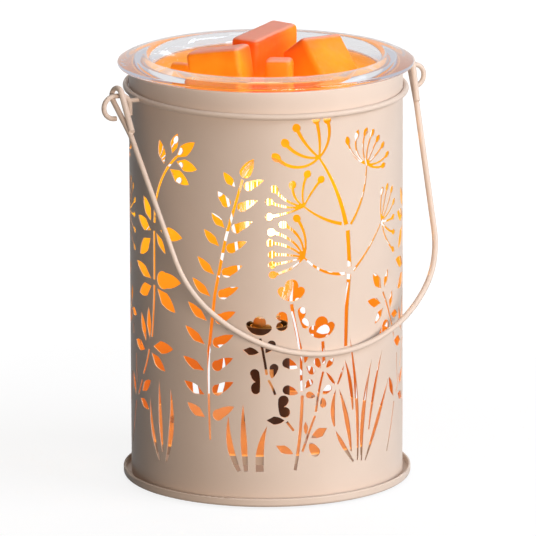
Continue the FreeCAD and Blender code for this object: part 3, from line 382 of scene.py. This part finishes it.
def socket_brass():
    """Drawn brass, duller where it has been handled."""
    material, place = new_material("socket_brass")
    clouds = place.noise(220.0, 4.0)
    base = clouds.mix(colour(0.55, 0.36, 0.12), colour(0.80, 0.57, 0.24))
    shader = principled(place, Base_Color=base, Metallic=1.0, Roughness=0.24 + 0.26 * clouds)
    surface(place, shader)
    return material


def dark_phenolic():
    """Dark moulded insulator with a faint mottle."""
    material, place = new_material("dark_phenolic")
    mottle = place.noise(420.0, 4.0)
    base = mottle.mix(colour(0.014, 0.010, 0.008), colour(0.045, 0.030, 0.022))
    shader = principled(place, Base_Color=base, Roughness=0.38 + 0.18 * mottle,
                        Normal=mottle.bump(0.10, 0.0002))
    surface(place, shader)
    return material


def foot_rubber():
    material, place = new_material("foot_rubber")
    speckle = place.noise(900.0, 3.0)
    base = speckle.mix(colour(0.55, 0.53, 0.50), colour(0.66, 0.64, 0.60))
    shader = principled(place, Base_Color=base, Roughness=0.62 + 0.2 * speckle,
                        Normal=speckle.bump(0.15, 0.0002))
    surface(place, shader)
    return material


def cap_glass():
    """Black insulating glass under the bulb's cap."""
    material, place = new_material("cap_glass")
    swirl = place.noise(500.0, 2.0)
    base = swirl.mix(colour(0.008, 0.008, 0.012), colour(0.03, 0.028, 0.04))
    surface(place, principled(place, Base_Color=base, Roughness=0.08 + 0.10 * swirl))
    return material


def solder():
    material, place = new_material("solder")
    clouds = place.noise(900.0, 3.0)
    base = clouds.mix(colour(0.45, 0.45, 0.46), colour(0.68, 0.68, 0.68))
    surface(place, principled(place, Base_Color=base, Metallic=1.0, Roughness=0.30 + 0.25 * clouds,
                              Normal=clouds.bump(0.2, 0.0002)))
    return material


def clear_glass(name, tint, ior, lit_low, lit_high, glow):
    """Clear glass that lets the lamps' light through.

    The bulb's light is painted into it as a warm glow that fades out between its two lit heights, in mm. A
    ray that has met the glass many times sees a painted pale silver reflection as a stand-in, since the
    renderer would turn it black.
    """
    material, place = new_material(name)
    lit = 1.0 - place.parts()[2].ease(lit_low * MM, lit_high * MM)
    # Painted light: a warm glow of the bulb in the glass below its lit heights
    warm = lit.mix(colour(0.0, 0.0, 0.0), colour(1.0, 0.46, 0.03))
    glass = principled(place, Base_Color=tint, Transmission_Weight=1.0, IOR=ior, Roughness=0.0,
                       Emission_Color=warm, Emission_Strength=glow)
    through = place.node("ShaderNodeBsdfTransparent", None, {"Color": tint})
    straight = place.node("ShaderNodeBsdfTransparent", None, {"Color": colour(0.80, 0.80, 0.87)})
    # Painted reflection: a pale silver glow for rays that have met the glass many times
    painted_silver_reflection = place.node("ShaderNodeEmission", None, {"Color": colour(0.33, 0.34, 0.43), "Strength": 1.0})
    spent = place.node("ShaderNodeMixShader", None, {0: 0.5, 1: straight, 2: painted_silver_reflection})
    shadow, depth = light_path(place, "Is Shadow Ray", "Ray Depth")
    deep = place.math("GREATER_THAN", depth, glass_bounces)
    seen = place.node("ShaderNodeMixShader", None, {0: deep, 1: glass, 2: spent})
    surface(place, place.node("ShaderNodeMixShader", None, {0: shadow, 1: seen, 2: through}))
    return material


def filament_wire():
    """The glowing wire, hottest in the middle of the cage."""
    material, place = new_material("filament_wire")
    height = place.parts()[2]
    lower = height.ease(filament_low * MM, (filament_low + filament_fade) * MM)
    upper = height.ease((filament_high - filament_fade) * MM, filament_high * MM)
    heat = lower * (1.0 - upper)
    glow = heat.mix(colour(0.9, 0.30, 0.05), colour(1.0, 0.82, 0.50))
    surface(place, principled(place, Base_Color=colour(0.12, 0.10, 0.09), Roughness=0.5, Metallic=0.6,
                              Emission_Color=glow, Emission_Strength=3.0))
    return material


def orange_wax():
    """Soft translucent wax, redder in the middle. Painted light makes its thin edges paler, a painted
    reflection makes its upper faces paler and pinker, and the bulb below is painted in as a glow.
    """
    material, place = new_material("orange_wax")
    clouds = place.noise(60.0, 3.0)
    specks = place.noise(700.0, 3.0)
    away, height = spread(place)
    body = clouds.ease(0.3, 0.7).mix(colour(0.88, 0.22, 0.008), colour(0.93, 0.30, 0.015))
    deep = away.ease(red_within * MM, red_out_by * MM).mix(colour(0.86, 0.10, 0.012), body)
    # Painted light: thin edges are paler, as if light showed through them
    thin_edge_painted_light = place.node("ShaderNodeNewGeometry", out="Pointiness").ease(0.515, 0.58)
    with_painted_edge_light = thin_edge_painted_light.mix(deep, colour(0.98, 0.46, 0.14))
    # Painted reflection: upper faces are paler and pinker, as if mirroring the white studio
    up_facing_for_painted_light = place.node("ShaderNodeNewGeometry", out="Normal").parts()[2].ease(0.55, 0.92)
    base = up_facing_for_painted_light.mix(with_painted_edge_light, colour(0.92, 0.38, 0.27))
    # Painted light: the bulb's glow in the wax, strongest at its foot
    glow = ((height - wax_foot * MM) / (wax_rise * MM)).ramp(*wax_painted_underlight)
    surface(place, principled(place, Base_Color=base, Roughness=0.36 + 0.16 * clouds,
                              Specular_IOR_Level=0.15, Subsurface_Weight=0.35, Subsurface_Scale=0.004,
                              Emission_Color=glow, Emission_Strength=0.6,
                              Normal=specks.bump(0.06, 0.0003)))
    return material


materials = {
    "warm_satin_paint": satin_paint(),
    "foot_rubber": foot_rubber(),
    "zinc_steel": zinc_steel(),
    "socket_brass": socket_brass(),
    "dark_phenolic": dark_phenolic(),
    "cap_glass": cap_glass(),
    "solder": solder(),
    # Both glasses carry a painted glow of the bulb's light below their lit heights
    "bulb_glass": clear_glass("bulb_glass", colour(1.0, 0.97, 0.92), ior=1.45, lit_low=128.0,
                              lit_high=140.0, glow=0.12),
    "filament_wire": filament_wire(),
    "dish_glass": clear_glass("dish_glass", colour(0.97, 0.975, 1.0), ior=1.5, lit_low=165.0,
                              lit_high=173.0, glow=0.20),
    "orange_wax": orange_wax(),
}


def finish_nodes():
    """Each CAD node takes this scene's finish of the same name as its own slot."""
    for node in nodes.values():
        name = node.material_slots[0].material.name.split(".")[0]
        node.data.materials[0] = materials[name]
    nodes["socket_platform"].data.materials[0] = platform_painted_light()


def add_piece(name, mesh, body, slot, replaced):
    piece = bpy.data.objects.new(name, mesh)
    bpy.context.scene.collection.objects.link(piece)
    mesh.materials.clear()
    mesh.materials.append(materials[slot])
    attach(piece, body)
    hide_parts(*replaced)
    return piece


def smooth(mesh):
    for face in mesh.polygons:
        face.use_smooth = True


def arc_between(start, middle, end, count):
    """Spots on the circle through three spots, from after start up to end."""
    ax, ay = start
    bx, by = middle
    cx, cy = end
    area = 2 * (ax * (by - cy) + bx * (cy - ay) + cx * (ay - by))
    a2 = ax * ax + ay * ay
    b2 = bx * bx + by * by
    c2 = cx * cx + cy * cy
    ux = (a2 * (by - cy) + b2 * (cy - ay) + c2 * (ay - by)) / area
    uy = (a2 * (cx - bx) + b2 * (ax - cx) + c2 * (bx - ax)) / area
    radius = math.hypot(ax - ux, ay - uy)
    first = math.atan2(ay - uy, ax - ux)
    last = math.atan2(cy - uy, cx - ux)
    through = math.atan2(by - uy, bx - ux)
    sweep = (last - first) % math.tau
    if (through - first) % math.tau > sweep:
        sweep -= math.tau
    return [(ux + radius * math.cos(first + sweep * step / count),
             uy + radius * math.sin(first + sweep * step / count)) for step in range(1, count + 1)]


def dish_outline():
    """Radius and height of the dish's section in mm, from its underside's middle to its floor's middle."""
    low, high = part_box("glass_dish")
    lip = high.x / MM
    crown = high.z / MM
    under = low.z / MM
    floor = under + dish_floor
    mouth = lip - dish_lip_width
    wall = mouth - dish_mouth_step
    outer = wall + dish_wall
    crest = mouth + dish_crest_step
    flat = dish_flat
    seat = dish_seat
    side = (outer, under + dish_outer_rise)
    outer_bend = outer - (outer - flat) * quarter_sag
    inner_bend = wall - (wall - flat) * quarter_sag
    outline = [(0.0, under), (flat, under)]
    # The underside's bend, the flare up to the seat, and the seat on the rim
    outline += arc_between(outline[-1], (outer_bend, under + 3.5), side, wall_steps)
    outline += arc_between(outline[-1], (outer + 1.4, seat - 3.2), (dish_seat_radius, seat), lip_steps)
    outline += [(lip - 1.2, seat)]
    # The lip's edge, its sloping top, and the roll over the crest into the mouth
    outline += arc_between(outline[-1], (lip, seat + 1.1), (lip - 0.7, seat + 2.3), lip_steps)
    outline += arc_between(outline[-1], ((lip + crest) / 2, crown - 0.35), (crest, crown), lip_steps)
    outline += arc_between(outline[-1], (mouth + 0.9, crown - 0.8), (mouth, crown - 2.8), lip_steps)
    # The inner wall and its bend onto the floor
    outline += [(wall, floor + dish_inner_rise)]
    outline += arc_between(outline[-1], (inner_bend, floor + 2.9), (flat, floor), wall_steps)
    outline += [(0.0, floor)]
    return outline


def spun(outline, turns):
    """A closed form turned about Z from its section, radius and height in mm."""
    shape = bmesh.new()
    spots = [shape.verts.new((radius * MM, 0.0, height * MM)) for radius, height in outline]
    edges = [shape.edges.new(pair) for pair in zip(spots, spots[1:])]
    bmesh.ops.spin(shape, geom=spots + edges, cent=(0, 0, 0), axis=(0, 0, 1), angle=math.tau, steps=turns,
                   use_merge=True)
    bmesh.ops.remove_doubles(shape, verts=shape.verts, dist=weld_distance * MM)
    bmesh.ops.recalc_face_normals(shape, faces=shape.faces)
    return shape


def to_mesh(shape, name):
    mesh = bpy.data.meshes.new(name)
    shape.to_mesh(mesh)
    shape.free()
    smooth(mesh)
    return mesh


def pressed_dish():
    shape = spun(dish_outline(), dish_turns)
    return add_piece("pressed_glass_dish", to_mesh(shape, "pressed_glass_dish"), "dish", "dish_glass",
                     ["glass_dish"])


def slump(shape):
    """Slope a block's top along its length, and leave its foot where it stands."""
    low = min(vert.co.z for vert in shape.verts)
    high = max(vert.co.z for vert in shape.verts)
    middle = sum((vert.co for vert in shape.verts), Vector()) / len(shape.verts)
    along = Vector((math.cos(math.radians(slump_turn)), math.sin(math.radians(slump_turn)), 0.0))
    for vert in shape.verts:
        share = (vert.co.z - low) / (high - low)
        vert.co.z += share * (slump_slope * (vert.co - middle).dot(along) - slump_drop * MM)


def soft_melt(index):
    """A melt with the soft, slightly uneven faces of poured wax."""
    source = nodes["wax_melt_%d" % index]
    name = "soft_melt_%d" % index
    shape = bmesh.new()
    shape.from_mesh(source.data)
    bmesh.ops.remove_doubles(shape, verts=shape.verts, dist=weld_distance * MM)
    mesh = to_mesh(shape, name)
    body = source["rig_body"]
    piece = add_piece(name, mesh, body, "orange_wax", [source.name])
    remesh = piece.modifiers.new("even", "REMESH")
    remesh.mode = "VOXEL"
    remesh.voxel_size = melt_grid * MM
    remesh.use_smooth_shade = True
    bpy.context.view_layer.update()
    evaluated = piece.evaluated_get(bpy.context.evaluated_depsgraph_get())
    even = bpy.data.meshes.new_from_object(evaluated)
    piece.modifiers.clear()
    piece.data = even
    even.name = name
    push = bmesh.new()
    push.from_mesh(even)
    for _ in range(melt_rounds):
        bmesh.ops.smooth_vert(push, verts=push.verts, factor=0.5, use_axis_x=True, use_axis_y=True,
                              use_axis_z=True)
    if index == slumped_melt:
        slump(push)
    push.normal_update()
    for vert in push.verts:
        wave = noise.noise(vert.co * wave_scale + Vector((index * 7.0, 0.0, 0.0)))
        ripple = noise.noise(vert.co * ripple_scale + Vector((0.0, index * 5.0, 0.0)))
        vert.co -= vert.normal * (melt_inset + melt_wave * wave + melt_ripple * ripple) * MM
    push.to_mesh(even)
    push.free()
    smooth(even)
    return piece


def add_camera():
    camera = bpy.data.cameras.new("camera")
    camera.lens = lens_length
    camera.sensor_width = sensor_width
    camera.shift_x = frame_shift
    camera.clip_end = view_limit
    level = math.cos(view_pitch)
    away = Vector((math.sin(view_turn) * level, -math.cos(view_turn) * level, math.sin(view_pitch)))
    placed = bpy.data.objects.new("camera", camera)
    bpy.context.scene.collection.objects.link(placed)
    look = (-away).to_track_quat("-Z", "Y").to_matrix().to_4x4()
    placed.matrix_world = Matrix.Translation(view_target + away * view_distance) @ look \
        @ Matrix.Rotation(view_roll, 4, "Z")
    bpy.context.scene.camera = placed


def add_light(name, turn, height, distance, size, power, tint, mirrored=True):
    """A square soft box that faces the object. One that isn't mirrored doesn't show in paint or glass."""
    lamp = bpy.data.lights.new(name, "AREA")
    lamp.size = size
    lamp.energy = power
    lamp.color = tint
    angle = view_turn + math.radians(turn)
    spot = Vector((math.sin(angle) * distance, -math.cos(angle) * distance, height))
    placed = bpy.data.objects.new(name, lamp)
    bpy.context.scene.collection.objects.link(placed)
    aim = (view_target - spot).to_track_quat("-Z", "Y").to_matrix().to_4x4()
    placed.matrix_world = Matrix.Translation(spot) @ aim
    placed.visible_glossy = mirrored
    placed.visible_transmission = mirrored


def add_bulb_light():
    lamp = bpy.data.lights.new("bulb_light", "POINT")
    lamp.energy = lamp_power
    lamp.color = lamp_colour
    lamp.shadow_soft_size = lamp_radius * MM
    placed = bpy.data.objects.new("bulb_light", lamp)
    bpy.context.scene.collection.objects.link(placed)
    placed.location = (0.0, 0.0, lamp_height * MM)


def seen_directly(start):
    """1 for camera rays, a little less for rays by glass or gloss, 0 for others and past a matt surface."""
    camera, glossy, through, matt = light_path(start, "Is Camera Ray", "Is Glossy Ray", "Is Transmission Ray",
                                               "Diffuse Depth")
    by_glass = camera.math("MINIMUM", glossy + through, 1.0) * glass_white
    return camera.math("MAXIMUM", camera, by_glass) * matt.math("LESS_THAN", matt, 0.5)


def add_world():
    world = bpy.data.worlds.new("studio")
    world.use_nodes = True
    tree = world.node_tree
    tree.nodes.clear()
    start = Wire(tree)
    seen = seen_directly(start)
    strength = seen * (background_white - ambient_level) + ambient_level
    back = start.node("ShaderNodeBackground", None, {"Color": colour(1, 1, 1), "Strength": strength})
    start.node("ShaderNodeOutputWorld", None, {"Surface": back})
    bpy.context.scene.world = world


def add_floor():
    shape = bmesh.new()
    bmesh.ops.create_grid(shape, x_segments=1, y_segments=1, size=floor_half)
    mesh = bpy.data.meshes.new("floor")
    shape.to_mesh(mesh)
    shape.free()
    material, place = new_material("pale_floor")
    matt = place.node("ShaderNodeBsdfDiffuse", None, {"Color": colour(*floor_colour)})
    # Painted shadow: the floor's glow is dimmer close to the part
    far = spread(place)[0].ease(floor_near, floor_far)
    level = floor_painted_shadow_white + far * (floor_white - floor_painted_shadow_white)
    white = place.node("ShaderNodeEmission", None,
                       {"Color": colour(1, 1, 1), "Strength": seen_directly(place) * level})
    both = place.node("ShaderNodeAddShader", None, {0: matt, 1: white})
    surface(place, both)
    mesh.materials.append(material)
    floor = bpy.data.objects.new("floor", mesh)
    bpy.context.scene.collection.objects.link(floor)


add_camera()
add_world()
add_floor()
add_light("key_light", key_turn, key_height, key_distance, key_size, key_power, key_colour)
add_light("front_light", front_turn, front_height, front_distance, front_size, front_power,
          front_colour)
add_light("top_light", top_turn, top_height, top_distance, top_size, top_power, top_colour)
add_light("back_light", back_turn, back_height, back_distance, back_size, back_power, back_colour,
          mirrored=False)
add_bulb_light()
finish_nodes()
pressed_dish()
for melt_index in range(1, melt_count + 1):
    soft_melt(melt_index)

bpy.context.scene.view_settings.view_transform = "Standard"
